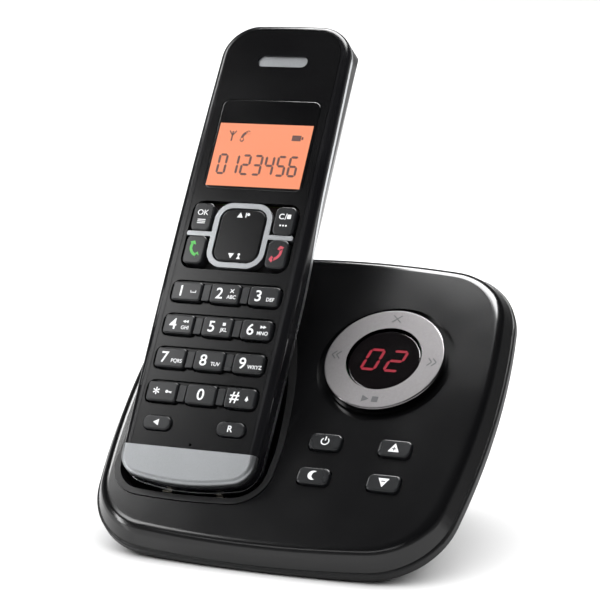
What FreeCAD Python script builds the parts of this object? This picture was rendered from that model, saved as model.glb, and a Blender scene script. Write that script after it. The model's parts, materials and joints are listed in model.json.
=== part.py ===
import FreeCAD, Part
import math
import operator
import os

import Sketcher
from FreeCAD import Placement, Rotation, Vector

# A cordless telephone standing in the cradle of its answering base.
# Row frame: +Z up, -Y to the front, origin on the table below the middle of the whole set.
# Handset frame: X across, Y along the handset towards the earpiece, Z out of its face.
# Plate frame: X across, Y up the slope of the base's top, Z out of that top.

DIMENSIONS = {
    # where the two inclined frames stand
    "handset_tilt": 57.76, "handset_x": -26.8, "handset_y": -14.0, "handset_z": 75.7, "plate_tilt": 41.42,
    "plate_y": -14.1, "plate_z": 47.1,
    # handset shells
    "shell_width": 48.4, "shell_length": 164.5, "shell_middle": 19.85, "shell_side_radius": 3000,
    "shell_top_radius": 330, "shell_foot_radius": 80, "shell_top_corner": 12.5, "shell_foot_corner": 8,
    "shell_depth": 24, "shell_wall": 1.8, "rim_round": 2.2, "bowl_start": 2.6, "bowl_radius": 18,
    "bowl_flat": 8.7, "bowl_flat_growth": 0.384, "heel_radius": 9, "chin_edge": 1.6, "chin_rise": 0.6,
    "chin_depth": 3, "chin_round": 1.6, "chin_inset": 0.25, "trim_height": 1.4, "trim_high": 2.6,
    "trim_low": 6.2, "trim_drop_low": 2, "trim_drop_high": 46, "panel_width": 40.8, "panel_top": 99.6,
    "panel_foot": -50.3, "panel_depth": 2.2, "panel_corner": 10, "seam": 0.15,
    # display
    "lens_width": 35.6, "lens_top": 73.1, "lens_foot": 39.9, "lens_depth": 1.5, "lens_corner": 3,
    "lcd_width": 33.6, "lcd_top": 64.1, "lcd_foot": 41.0, "lcd_depth": 2.6,
    # earpiece
    "slot_length": 18.1, "slot_height": 4.2, "slot_y": 87.9, "speaker_radius": 9, "speaker_depth": 3.4,
    # number keys
    "key_pitch": 13.64, "row_pitch": 11.61, "first_row": 2.48, "key_width": 10.5, "key_height": 6.6,
    "key_rise": 1.1, "key_depth": 3.2, "key_gap": 0.35, "key_corner": 1.3, "tray_width": 39.6,
    "tray_height": 8.6, "tray_depth": 0.7, "small_key_width": 9.7, "small_key_height": 4.7,
    "small_key_x": 12.8, "small_key_y": -42.8,
    # navigation cluster
    "cluster_width": 38.4, "cluster_top": 35.4, "cluster_foot": 10.9, "cluster_corner": 4,
    "frame_width": 20.4, "frame_top": 34.7, "frame_foot": 11.7, "frame_corner": 6, "frame_bar": 1.8,
    "frame_rise": 0.7, "arm_y": 22.0, "arm_height": 1.6, "arm_reach": 37.6, "soft_key_x": 14.6,
    "soft_key_width": 7.2, "soft_key_height": 10, "soft_key_y": 5.9,
    # inside the handset
    "board_top": -6.0, "board_thickness": 1.2, "mat_top": -4.2, "mat_thickness": 1.6, "cell_radius": 5.2,
    "cell_length": 44.5, "cell_x": 5.6, "cell_z": -16.2, "cell_foot": -42, "door_width": 15,
    "door_foot": -44, "door_length": 54, "door_thickness": 1.4, "contact_width": 3, "contact_x": 9,
    "pad_foot": -62, "pad_depth": 2.2, "pad_z": -15, "pad_length": 5, "screw_radius": 1.4,
    "screw_length": 6,
    # base plate and covers
    "plate_width": 125.2, "plate_length": 120.8, "plate_side_radius": 250, "plate_front_radius": 350,
    "plate_corner": 25, "cover_depth": 6, "cover_slope": 3, "cover_draft": 26.57, "cover_round": 4,
    "cover_wall": 2.6, "lip_depth": 3, "lip_proud": 0.8, "lip_round": 0.8, "foot_width": 44,
    "foot_length": 39, "foot_corner": 12, "wedge_depth": 84, "floor_wall": 2.2, "pad_height": 0.8,
    "pad_radius": 5,
    # cradle
    "cradle_gap": 2.0, "cradle_wall": 2.0, "cradle_brim": 0.35, "cradle_way_out": 120,
    # control ring and display window
    "ring_x": 24.2, "ring_y": 15.6, "ring_radius": 19.9, "ring_bore": 12.4, "ring_rise": 2.6,
    "ring_depth": 3.1, "well_radius": 22.6, "well_depth": 1.6, "window_radius": 11.9, "window_rise": 1.6,
    "carrier_radius": 17, "carrier_bore": 13.4, "carrier_thickness": 1.2,
    # base buttons
    "button_x": 25.44, "button_y": -23.75, "button_dx": 11.51, "button_dy": 6.52, "button_width": 10.4,
    "button_height": 6, "button_rise": 1.2, "button_depth": 4,
    # inside and behind the base
    "base_board_width": 50, "base_board_length": 84, "base_board_x": 27, "base_board_top": -7.6,
    "driver_radius": 18, "driver_depth": 7, "jack_width": 14, "jack_height": 12, "jack_length": 14,
    "line_x": -9, "power_x": 9, "jack_y": 36.5, "jack_z": 9, "socket_width": 10, "socket_height": 8,
    "socket_depth": 10,
}

doc = FreeCAD.newDocument("cordless_telephone")
sheet = doc.addObject("Spreadsheet::Sheet", "dims")
for row, (alias, number) in enumerate(DIMENSIONS.items(), start=1):
    sheet.set(f"A{row}", alias)
    sheet.set(f"B{row}", str(number))
    sheet.setAlias(f"B{row}", alias)
doc.recompute()

OPERATIONS = {"+": operator.add, "-": operator.sub, "*": operator.mul, "/": operator.truediv}


class Size:
    """A length or angle that carries both its spreadsheet expression and its number."""

    def __init__(self, text, number):
        self.text = text
        self.number = number

    def join(self, sign, other, swapped=False):
        pair = (as_size(other), self) if swapped else (self, as_size(other))
        text = f"({pair[0].text} {sign} {pair[1].text})"
        return Size(text, OPERATIONS[sign](pair[0].number, pair[1].number))

    def __add__(self, other):
        return self.join("+", other)

    def __radd__(self, other):
        return self.join("+", other, swapped=True)

    def __sub__(self, other):
        return self.join("-", other)

    def __rsub__(self, other):
        return self.join("-", other, swapped=True)

    def __mul__(self, other):
        return self.join("*", other)

    def __rmul__(self, other):
        return self.join("*", other, swapped=True)

    def __truediv__(self, other):
        return self.join("/", other)

    def __neg__(self):
        return self.join("*", -1)

    def __float__(self):
        return float(self.number)


def as_size(item):
    return item if isinstance(item, Size) else Size(f"({item})", float(item))


def cell(alias):
    return Size(f"dims.{alias}", float(sheet.get(alias)))


def bind(target, prop, size):
    target.setExpression(prop, as_size(size).text)


def tilted_frame(x, y, z, tilt):
    spot = Vector(float(x), float(y), float(z))
    return Placement(spot, Rotation(Vector(1, 0, 0), float(tilt)))


HANDSET = tilted_frame(cell("handset_x"), cell("handset_y"), cell("handset_z"), cell("handset_tilt"))
PLATE = tilted_frame(0, cell("plate_y"), cell("plate_z"), cell("plate_tilt"))
ROW = Placement()
nodes = []


# ---------------------------------------------------------------- sketches

def attach_sketch(body, name, x, y, z, plane="XY_Plane"):
    sketch = body.newObject("Sketcher::SketchObject", name)
    origin = next(item for item in body.Origin.OriginFeatures if item.Role == plane)
    sketch.AttachmentSupport = [(origin, "")]
    sketch.MapMode = "FlatFace"
    for axis, size in zip("xyz", (x, y, z)):
        bind(sketch, f"AttachmentOffset.Base.{axis}", size)
    return sketch


def name_length(sketch, index, name, size):
    sketch.renameConstraint(index, name)
    bind(sketch, f"Constraints.{name}", size)


def chain_tangents(sketch, count):
    for edge in range(count):
        sketch.addConstraint(Sketcher.Constraint("Tangent", edge, 2, (edge + 1) % count, 1))


def rectangle(sketch, width, length, corner):
    """A centred rectangle with rounded corners, fully constrained."""
    half_w = float(width) / 2
    half_l = float(length) / 2
    radius = float(corner)
    corners = [(half_w, half_l, 0), (-half_w, half_l, 90), (-half_w, -half_l, 180), (half_w, -half_l, 270)]
    arcs = []
    for x, y, start in corners:
        centre = Vector(x - math.copysign(radius, x), y - math.copysign(radius, y), 0)
        circle = Part.Circle(centre, Vector(0, 0, 1), radius)
        arcs.append(Part.ArcOfCircle(circle, math.radians(start), math.radians(start + 90)))
    for arc, following in zip(arcs, arcs[1:] + arcs[:1]):
        sketch.addGeometry(arc, False)
        sketch.addGeometry(Part.LineSegment(arc.EndPoint, following.StartPoint), False)
    chain_tangents(sketch, 8)
    for edge, direction in ((1, "Horizontal"), (5, "Horizontal"), (3, "Vertical"), (7, "Vertical")):
        sketch.addConstraint(Sketcher.Constraint(direction, edge))
    for edge in (2, 4, 6):
        sketch.addConstraint(Sketcher.Constraint("Equal", 0, edge))
    sketch.addConstraint(Sketcher.Constraint("Symmetric", 0, 3, 4, 3, -1, 1))
    name_length(sketch, sketch.addConstraint(Sketcher.Constraint("Radius", 0, radius)), "corner", corner)
    wide = Sketcher.Constraint("DistanceX", 3, 1, 7, 1, 2 * half_w)
    name_length(sketch, sketch.addConstraint(wide), "width", width)
    long = Sketcher.Constraint("DistanceY", 5, 1, 1, 1, 2 * half_l)
    name_length(sketch, sketch.addConstraint(long), "length", length)


def circle(sketch, radius):
    sketch.addGeometry(Part.Circle(Vector(0, 0, 0), Vector(0, 0, 1), float(radius)), False)
    sketch.addConstraint(Sketcher.Constraint("Coincident", 0, 3, -1, 1))
    name_length(sketch, sketch.addConstraint(Sketcher.Constraint("Radius", 0, float(radius))), "radius", radius)


def meeting_point(first, reach_first, second, reach_second, way):
    """The point at the given distances from two centres: the upper one, or the lower if way is -1."""
    gap = second - first
    along = (gap.Length ** 2 + reach_first ** 2 - reach_second ** 2) / (2 * gap.Length)
    aside = math.sqrt(reach_first ** 2 - along ** 2)
    forward = gap.normalize()
    across = Vector(-forward.y, forward.x, 0) * aside
    spots = (first + forward * along + across, first + forward * along - across)
    return max(spots, key=lambda spot: spot.y * way)


def crowned_outline(sketch, width, length, radii, corners):
    """A rounded oblong whose four sides bow outwards. radii: side, top, foot. corners: top, foot."""
    half_w = width / 2
    half_l = length / 2
    side, top, foot = (float(radius) for radius in radii)
    side_centre = Vector(float(half_w) - side, 0, 0)
    end_centres = (Vector(0, float(half_l) - top, 0), Vector(0, foot - float(half_l), 0))
    corner_centres = [
        meeting_point(side_centre, side - float(corner), centre, reach - float(corner), way)
        for centre, reach, corner, way in zip(end_centres, (top, foot), corners, (1, -1))
    ]

    def heading(origin, point):
        return math.atan2(point.y - origin.y, point.x - origin.x)

    def arc(centre, radius, start, end):
        round_edge = Part.Circle(centre, Vector(0, 0, 1), radius)
        sketch.addGeometry(Part.ArcOfCircle(round_edge, start, end), False)

    upper, lower = corner_centres
    rise = heading(side_centre, upper)
    fall = heading(side_centre, lower)
    top_turn = heading(end_centres[0], upper)
    foot_turn = heading(end_centres[1], lower)
    arc(side_centre, side, fall, rise)
    arc(upper, float(corners[0]), rise, top_turn)
    arc(end_centres[0], top, top_turn, math.pi - top_turn)
    arc(Vector(-upper.x, upper.y, 0), float(corners[0]), math.pi - top_turn, math.pi - rise)
    arc(-side_centre, side, math.pi - rise, math.pi - fall)
    arc(Vector(-lower.x, lower.y, 0), float(corners[1]), math.pi - fall, math.pi - foot_turn)
    arc(end_centres[1], foot, math.pi - foot_turn, 2 * math.pi + foot_turn)
    arc(lower, float(corners[1]), foot_turn, fall)
    chain_tangents(sketch, 8)
    for edge, axis in ((0, -1), (4, -1), (2, -2), (6, -2)):
        sketch.addConstraint(Sketcher.Constraint("PointOnObject", edge, 3, axis))
    for edge, twin in ((0, 4), (1, 3), (7, 5)):
        sketch.addConstraint(Sketcher.Constraint("Equal", edge, twin))
    named = ((0, "side", radii[0]), (2, "top", radii[1]), (6, "foot", radii[2]),
             (1, "top_corner", corners[0]), (7, "foot_corner", corners[1]))
    for edge, name, size in named:
        index = sketch.addConstraint(Sketcher.Constraint("Radius", edge, float(size)))
        name_length(sketch, index, name, size)
    reaches = (("DistanceX", (0, 3, -1, 1), "right", radii[0] - half_w),
               ("DistanceX", (-1, 1, 4, 3), "left", radii[0] - half_w),
               ("DistanceY", (2, 3, -1, 1), "upper", radii[1] - half_l),
               ("DistanceY", (-1, 1, 6, 3), "lower", radii[2] - half_l))
    for kind, ends, name, size in reaches:
        index = sketch.addConstraint(Sketcher.Constraint(kind, *ends, float(size)))
        name_length(sketch, index, name, size)


# ---------------------------------------------------------------- features

def new_body(label, frame):
    body = doc.addObject("PartDesign::Body", label)
    body.Label = label
    body.Placement = frame
    return body


def pad(body, sketch, depth, upwards=False):
    feature = body.newObject("PartDesign::Pad", f"{sketch.Name}_pad")
    feature.Profile = sketch
    feature.Reversed = not upwards
    bind(feature, "Length", depth)
    sketch.Visibility = False
    return feature


def pocket(body, sketch, depth, upwards=False):
    feature = body.newObject("PartDesign::Pocket", f"{sketch.Name}_pocket")
    feature.Profile = sketch
    feature.Reversed = upwards
    bind(feature, "Length", depth)
    return feature


def slab(body, name, size, corner, top, depth, at=(0, 0)):
    """A rounded slab hanging down from the height top."""
    sketch = attach_sketch(body, name, at[0], at[1], top)
    rectangle(sketch, size[0], size[1], corner)
    return pad(body, sketch, depth)


def slot(body, name, size, corner, top, depth, at=(0, 0)):
    """A rounded hole sunk down from the height top."""
    sketch = attach_sketch(body, name, at[0], at[1], top)
    rectangle(sketch, size[0], size[1], corner)
    return pocket(body, sketch, depth)


def disc(body, name, radius, top, depth, at=(0, 0)):
    sketch = attach_sketch(body, name, at[0], at[1], top)
    circle(sketch, radius)
    return pad(body, sketch, depth)


def round_hole(body, name, radius, top, depth, at=(0, 0)):
    sketch = attach_sketch(body, name, at[0], at[1], top)
    circle(sketch, radius)
    return pocket(body, sketch, depth)


def round_top_edges(body, feature, height, radius):
    """Fillets every edge that lies wholly at the given height of the body."""
    doc.recompute()
    level = float(height)
    picked = []
    for index, edge in enumerate(feature.Shape.Edges, start=1):
        if all(abs(vertex.Z - level) < 1e-3 for vertex in edge.Vertexes):
            picked.append(f"Edge{index}")
    fillet = body.newObject("PartDesign::Fillet", f"{feature.Name}_round")
    fillet.Base = (feature, picked)
    bind(fillet, "Radius", radius)
    return fillet


def keep(item, label=None):
    if label:
        item.Label = label
    nodes.append(item)
    return item


def boolean(kind, label, base, tool, kept=True):
    item = doc.addObject(f"Part::{kind}", label)
    item.Base = base
    item.Tool = tool
    item.Label = label
    return keep(item) if kept else item


def join_all(label, items):
    """Several separate solids of one kind, kept together in one node."""
    group = doc.addObject("Part::MultiFuse", label)
    group.Shapes = items
    group.Label = label
    return keep(group)


def primitive(kind, name, frame, spot, turn=None, **sizes):
    item = doc.addObject(f"Part::{kind}", name)
    for prop, size in sizes.items():
        bind(item, prop, size)
    place = Vector(*(float(part) for part in spot))
    item.Placement = frame.multiply(Placement(place, turn or Rotation()))
    return item


# ---------------------------------------------------------------- handset shells

def shell_section(body, name, height, grow, reach=0):
    """The handset's plan outline at a height, grown outwards. reach lengthens it past the earpiece."""
    sketch = attach_sketch(body, name, 0, cell("shell_middle") + as_size(reach) / 2, height)
    grow = as_size(grow)
    stretch = 1 + as_size(reach) / cell("shell_length")
    radii = ((cell("shell_side_radius") + grow) * stretch * stretch, cell("shell_top_radius") + grow,
             cell("shell_foot_radius") + grow + reach)
    corners = (cell("shell_top_corner") + grow, cell("shell_foot_corner") + grow)
    length = cell("shell_length") + 2 * grow + reach
    crowned_outline(sketch, cell("shell_width") + 2 * grow, length, radii, corners)
    return sketch


def bowl(sketch, grow):
    """The handset's cross-section: straight sides, a round turn, a slanting flank and a flat back."""
    half = float(cell("shell_width") / 2 + grow)
    radius = float(cell("bowl_radius") + grow)
    flat = float(cell("bowl_flat") + grow * cell("bowl_flat_growth"))
    turn = float(cell("bowl_start"))
    bottom = float(cell("shell_depth") + grow)
    ceiling = 28
    centre = Vector(half - radius, -turn, 0)
    corner = Vector(flat, -bottom, 0)
    lean = corner - centre
    angle = math.atan2(lean.y, lean.x) + math.acos(radius / lean.Length)
    touch = centre + Vector(math.cos(angle), math.sin(angle), 0) * radius

    def mirrored(point):
        return Vector(-point.x, point.y, 0)

    right = Part.ArcOfCircle(Part.Circle(centre, Vector(0, 0, 1), radius), angle, 0)
    left = Part.ArcOfCircle(Part.Circle(mirrored(centre), Vector(0, 0, 1), radius), math.pi, math.pi - angle)
    shapes = [Part.LineSegment(Vector(half, ceiling, 0), Vector(half, -turn, 0)), right,
              Part.LineSegment(touch, corner), Part.LineSegment(corner, mirrored(corner)),
              Part.LineSegment(mirrored(corner), mirrored(touch)), left,
              Part.LineSegment(Vector(-half, -turn, 0), Vector(-half, ceiling, 0)),
              Part.LineSegment(Vector(-half, ceiling, 0), Vector(half, ceiling, 0))]
    for shape in shapes:
        sketch.addGeometry(shape, False)
    for joint in ((0, 2, 1, 2), (1, 1, 2, 1), (4, 2, 5, 2), (5, 1, 6, 1)):
        sketch.addConstraint(Sketcher.Constraint("Tangent", *joint))
    for joint in ((2, 2, 3, 1), (3, 2, 4, 1), (6, 2, 7, 1), (7, 2, 0, 1)):
        sketch.addConstraint(Sketcher.Constraint("Coincident", *joint))
    for edge in (0, 6):
        sketch.addConstraint(Sketcher.Constraint("Vertical", edge))
    for edge in (3, 7):
        sketch.addConstraint(Sketcher.Constraint("Symmetric", edge, 1, edge, 2, -2))
    sketch.addConstraint(Sketcher.Constraint("Equal", 1, 5))
    index = sketch.addConstraint(Sketcher.Constraint("Radius", 1, radius))
    name_length(sketch, index, "turn_radius", cell("bowl_radius") + grow)
    measures = (("DistanceX", (7, 1, 7, 2), "width", cell("shell_width") + 2 * as_size(grow)),
                ("DistanceX", (3, 2, 3, 1), "flat", 2 * (cell("bowl_flat") + grow * cell("bowl_flat_growth"))),
                ("DistanceY", (1, 3, -1, 1), "turn_right", cell("bowl_start")),
                ("DistanceY", (5, 3, -1, 1), "turn_left", cell("bowl_start")),
                ("DistanceY", (3, 1, -1, 1), "depth", cell("shell_depth") + grow),
                ("DistanceY", (-1, 1, 7, 1), "ceiling", as_size(ceiling)))
    for kind, ends, name, size in measures:
        index = sketch.addConstraint(Sketcher.Constraint(kind, *ends, float(size)))
        name_length(sketch, index, name, size)


def hull(label, grow, reach=0):
    """The handset's outer form, grown by a wall or a gap: cross-section, side view and plan in common."""
    grow = as_size(grow)
    reach = as_size(reach)
    depth = cell("shell_depth") + grow
    length = cell("shell_length") + reach
    section = new_body(f"{label}_section", HANDSET)
    end = cell("shell_middle") + cell("shell_length") / 2 + reach + 5
    sketch = attach_sketch(section, f"{label}_bowl", 0, 0, -end, "XZ_Plane")
    bowl(sketch, grow)
    pad(section, sketch, length + 10, upwards=True)
    side = new_body(f"{label}_side", HANDSET)
    middle = cell("shell_middle") + reach / 2
    sketch = attach_sketch(side, f"{label}_side_view", middle, (30 - depth) / 2, -40, "YZ_Plane")
    rectangle(sketch, length + 2 * grow, depth + 30, cell("heel_radius") + grow)
    pad(side, sketch, 80, upwards=True)
    plan = new_body(f"{label}_plan", HANDSET)
    pad(plan, shell_section(plan, f"{label}_plan_view", 29, grow, reach), depth + 30)
    common = doc.addObject("Part::MultiCommon", label)
    common.Shapes = [section, side, plan]
    return common


def above_parting(label, drop):
    """Everything above the wavy parting line of the handset's side, or a drop below that line."""
    body = new_body(label, HANDSET)
    sketch = attach_sketch(body, f"{label}_view", 0, 0, -cell("shell_width"), "YZ_Plane")
    low = -(cell("trim_low") + drop)
    high = -(cell("trim_high") + drop)
    start = cell("trim_drop_low")
    end = cell("trim_drop_high")
    far = as_size(130)
    ceiling = as_size(36)
    rise = float(high - low)
    run = float(end - start)
    radius = (rise ** 2 + run ** 2) / (4 * rise)
    half = 2 * math.asin(math.hypot(rise, run) / (4 * radius))
    hollow = Part.Circle(Vector(float(start), float(low) + radius, 0), Vector(0, 0, 1), radius)
    crown = Part.Circle(Vector(float(end), float(high) - radius, 0), Vector(0, 0, 1), radius)
    first = Part.ArcOfCircle(hollow, -math.pi / 2, -math.pi / 2 + half)
    last = Part.ArcOfCircle(crown, math.pi / 2, math.pi / 2 + half)
    corners = [Vector(-float(far), float(low), 0), Vector(float(far), float(high), 0),
               Vector(float(far), float(ceiling), 0), Vector(-float(far), float(ceiling), 0)]
    shapes = [Part.LineSegment(corners[0], first.StartPoint), first, last,
              Part.LineSegment(last.StartPoint, corners[1]), Part.LineSegment(corners[1], corners[2]),
              Part.LineSegment(corners[2], corners[3]), Part.LineSegment(corners[3], corners[0])]
    for shape in shapes:
        sketch.addGeometry(shape, False)
    for joint in ((0, 2, 1, 1), (1, 2, 2, 2), (2, 1, 3, 1)):
        sketch.addConstraint(Sketcher.Constraint("Tangent", *joint))
    for joint in ((3, 2, 4, 1), (4, 2, 5, 1), (5, 2, 6, 1), (6, 2, 0, 1)):
        sketch.addConstraint(Sketcher.Constraint("Coincident", *joint))
    for edge, way in ((0, "Horizontal"), (3, "Horizontal"), (5, "Horizontal"), (4, "Vertical"), (6, "Vertical")):
        sketch.addConstraint(Sketcher.Constraint(way, edge))
    sketch.addConstraint(Sketcher.Constraint("Equal", 1, 2))
    measures = (("DistanceY", (0, 1, -1, 1), "low", -low), ("DistanceY", (3, 2, -1, 1), "high", -high),
                ("DistanceX", (-1, 1, 1, 1), "wave_start", start), ("DistanceX", (-1, 1, 2, 1), "wave_end", end),
                ("DistanceX", (0, 1, -1, 1), "rear", far), ("DistanceX", (-1, 1, 3, 2), "front", far),
                ("DistanceY", (-1, 1, 5, 1), "ceiling", ceiling))
    for kind, ends, name, size in measures:
        index = sketch.addConstraint(Sketcher.Constraint(kind, *ends, float(size)))
        name_length(sketch, index, name, size)
    pad(body, sketch, 2 * cell("shell_width"), upwards=True)
    return body


def face_opening(body, name):
    """The opening in the front shell that the face panel and the chin fill."""
    seam = cell("seam")
    high = cell("panel_top") + seam
    low = cell("shell_middle") - cell("shell_length") / 2 + cell("chin_edge") - seam
    size = (cell("panel_width") + 2 * seam, high - low)
    return slot(body, name, size, cell("panel_corner"), 1, 14, at=(0, (high + low) / 2))


def handset_shells():
    parting = above_parting("above_parting", as_size(0))
    trim_foot = above_parting("above_trim_foot", cell("trim_height"))

    block = new_body("front_block", HANDSET)
    outline = pad(block, shell_section(block, "front_outline", 0, 0), cell("trim_low") + 2)
    round_top_edges(block, outline, 0, cell("rim_round"))
    face_opening(block, "front_opening")
    seat_depth = 1 + cell("chin_depth") - cell("chin_rise") + cell("seam")
    slot(block, "chin_seat", (60, 40), 1, 1, seat_depth, at=(0, cell("panel_foot") - 20))
    boolean("Common", "handset_front_shell", block, parting)

    ring = new_body("trim_ring", HANDSET)
    pad(ring, shell_section(ring, "trim_outline", 0, 0.1), cell("trim_low") + 4)
    pocket(ring, shell_section(ring, "trim_bore", 1, -cell("shell_wall")), 20)
    band = boolean("Common", "trim_above", ring, trim_foot, kept=False)
    boolean("Cut", "trim_band", band, parting)

    room = hull("rear_room", -cell("shell_wall"))
    hollowed = boolean("Cut", "rear_hollowed", hull("rear_form", 0), room, kept=False)
    opened = boolean("Cut", "rear_opened", hollowed, door_block("door_opening", 0.2, 6), kept=False)
    slotted = doc.addObject("Part::MultiFuse", "charge_slots")
    slotted.Shapes = charge_pads(cell("seam"))
    parted = boolean("Cut", "rear_parted", opened, trim_foot, kept=False)
    boolean("Cut", "handset_rear_shell", parted, slotted)
    keep(door_block("battery_door", 0, cell("door_thickness")))


def door_block(label, grow, thickness):
    body = new_body(label, HANDSET)
    size = (cell("door_width") + 2 * as_size(grow), cell("door_length") + 2 * as_size(grow))
    base = -cell("shell_depth") - grow
    slab(body, f"{label}_block", size, 2, base + thickness, thickness,
         at=(0, cell("door_foot") + cell("door_length") / 2))
    return body


def handset_face():
    panel = new_body("handset_faceplate", HANDSET)
    size = (cell("panel_width"), cell("panel_top") - cell("panel_foot"))
    middle = (cell("panel_top") + cell("panel_foot")) / 2
    slab(panel, "panel", size, cell("panel_corner"), 0, cell("panel_depth"), at=(0, middle))
    foot = (cell("panel_width"), cell("panel_corner") + 2)
    slab(panel, "panel_foot", foot, 0.2, 0, cell("panel_depth"), at=(0, cell("panel_foot") + foot[1] / 2))
    lens_y = (cell("lens_top") + cell("lens_foot")) / 2
    lens = (cell("lens_width") + 0.2, cell("lens_top") - cell("lens_foot") + 0.2)
    slot(panel, "lens_seat", lens, cell("lens_corner"), 1, 9, at=(0, lens_y))
    slot(panel, "slot_seat", (cell("slot_length"), cell("slot_height")), cell("slot_height") * 0.49, 1, 9,
         at=(0, cell("slot_y")))
    for row in range(4):
        row_y = cell("first_row") - row * cell("row_pitch")
        tray = (cell("tray_width"), cell("tray_height"))
        slot(panel, f"tray_{row}", tray, 3, 0, cell("tray_depth"), at=(0, row_y))
        for column in (-1, 0, 1):
            slot(panel, f"key_hole_{row}_{column + 1}", grown_key(), cell("key_corner"), 1, 9,
                 at=(column * cell("key_pitch"), row_y))
    cluster_y = (cell("cluster_top") + cell("cluster_foot")) / 2
    cluster = (cell("cluster_width"), cell("cluster_top") - cell("cluster_foot"))
    slot(panel, "cluster", cluster, cell("cluster_corner"), 1, 9, at=(0, cluster_y))
    small = (cell("small_key_width") + 2 * cell("key_gap"), cell("small_key_height") + 2 * cell("key_gap"))
    for side in (-1, 1):
        slot(panel, f"small_hole_{side + 1}", small, small[1] * 0.49, 1, 9,
             at=(side * cell("small_key_x"), cell("small_key_y")))
    round_hole(panel, "microphone_hole", 0.5, 1, 9, at=(0, cell("panel_foot") + 1.4))
    keep(panel)

    chin = new_body("chin_cover", HANDSET)
    outline = shell_section(chin, "chin_outline", cell("chin_rise"), -cell("chin_inset"))
    block = pad(chin, outline, cell("chin_depth"))
    round_top_edges(chin, block, cell("chin_rise"), cell("chin_round"))
    slot(chin, "chin_end", (60, 200), 1, 2, 9, at=(0, cell("panel_foot") - cell("seam") + 100))
    keep(chin)

    grille = new_body("earpiece_grille", HANDSET)
    slab(grille, "grille", (cell("slot_length") - 0.2, cell("slot_height") - 0.2), cell("slot_height") * 0.46,
         -0.6, 1.2, at=(0, cell("slot_y")))
    keep(grille)

    window = new_body("display_lens", HANDSET)
    block = slab(window, "lens", (cell("lens_width"), cell("lens_top") - cell("lens_foot")), cell("lens_corner"),
                 0.1, cell("lens_depth"), at=(0, lens_y))
    round_top_edges(window, block, 0.1, as_size(0.4))
    keep(window)

    lcd = new_body("lcd_module", HANDSET)
    slab(lcd, "lcd", (cell("lcd_width"), cell("lcd_top") - cell("lcd_foot")), 1, 0 - cell("lens_depth"),
         cell("lcd_depth"), at=(0, (cell("lcd_top") + cell("lcd_foot")) / 2))
    keep(lcd)


# ---------------------------------------------------------------- keys

def grown_key():
    return (cell("key_width") + 2 * cell("key_gap"), cell("key_height") + 2 * cell("key_gap"))


def make_key(label, width, height, corner, x, y, frame=HANDSET, rise="key_rise", depth="key_depth"):
    key = new_body(label, frame)
    block = slab(key, f"{label}_cap", (width, height), corner, cell(rise), cell(rise) + cell(depth), at=(x, y))
    round_top_edges(key, block, cell(rise), cell("key_rise") * 0.5)
    keep(key)


def handset_keys():
    names = ("1", "2", "3", "4", "5", "6", "7", "8", "9", "star", "0", "hash")
    for index, name in enumerate(names):
        x = (index % 3 - 1) * cell("key_pitch")
        y = cell("first_row") - (index // 3) * cell("row_pitch")
        make_key(f"key_{name}", cell("key_width"), cell("key_height"), cell("key_corner"), x, y)
    for name, side in (("speaker", -1), ("recall", 1)):
        make_key(f"key_{name}", cell("small_key_width"), cell("small_key_height"), cell("small_key_height") * 0.48,
                 side * cell("small_key_x"), cell("small_key_y"))
    corner_keys = (("menu", -1, 1), ("clear", 1, 1), ("call", -1, -1), ("end", 1, -1))
    for name, side, way in corner_keys:
        make_key(f"key_{name}", cell("soft_key_width"), cell("soft_key_height"), 2,
                 side * cell("soft_key_x"), cell("arm_y") + 1.2 + way * cell("soft_key_y"))

    frame = new_body("nav_frame", HANDSET)
    frame_y = (cell("frame_top") + cell("frame_foot")) / 2
    size = (cell("frame_width"), cell("frame_top") - cell("frame_foot"))
    slab(frame, "nav_rim", size, cell("frame_corner"), cell("frame_rise"), 3, at=(0, frame_y))
    slab(frame, "nav_arm", (cell("arm_reach"), cell("arm_height")), 0.4, cell("frame_rise"), 3,
         at=(0, frame_y))
    bore = (size[0] - 2 * cell("frame_bar"), size[1] - 2 * cell("frame_bar"))
    slot(frame, "nav_bore", bore, cell("frame_corner") - cell("frame_bar"), 2, 9, at=(0, frame_y))
    keep(frame)

    nav = new_body("nav_pad", HANDSET)
    gap = 2 * cell("key_gap")
    block = slab(nav, "nav_cap", (bore[0] - gap, bore[1] - gap), cell("frame_corner") - cell("frame_bar") - 0.3,
                 cell("frame_rise"), cell("frame_rise") + cell("key_depth"), at=(0, frame_y))
    round_top_edges(nav, block, cell("frame_rise"), as_size(0.6))
    keep(nav)


# ---------------------------------------------------------------- inside the handset

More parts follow.
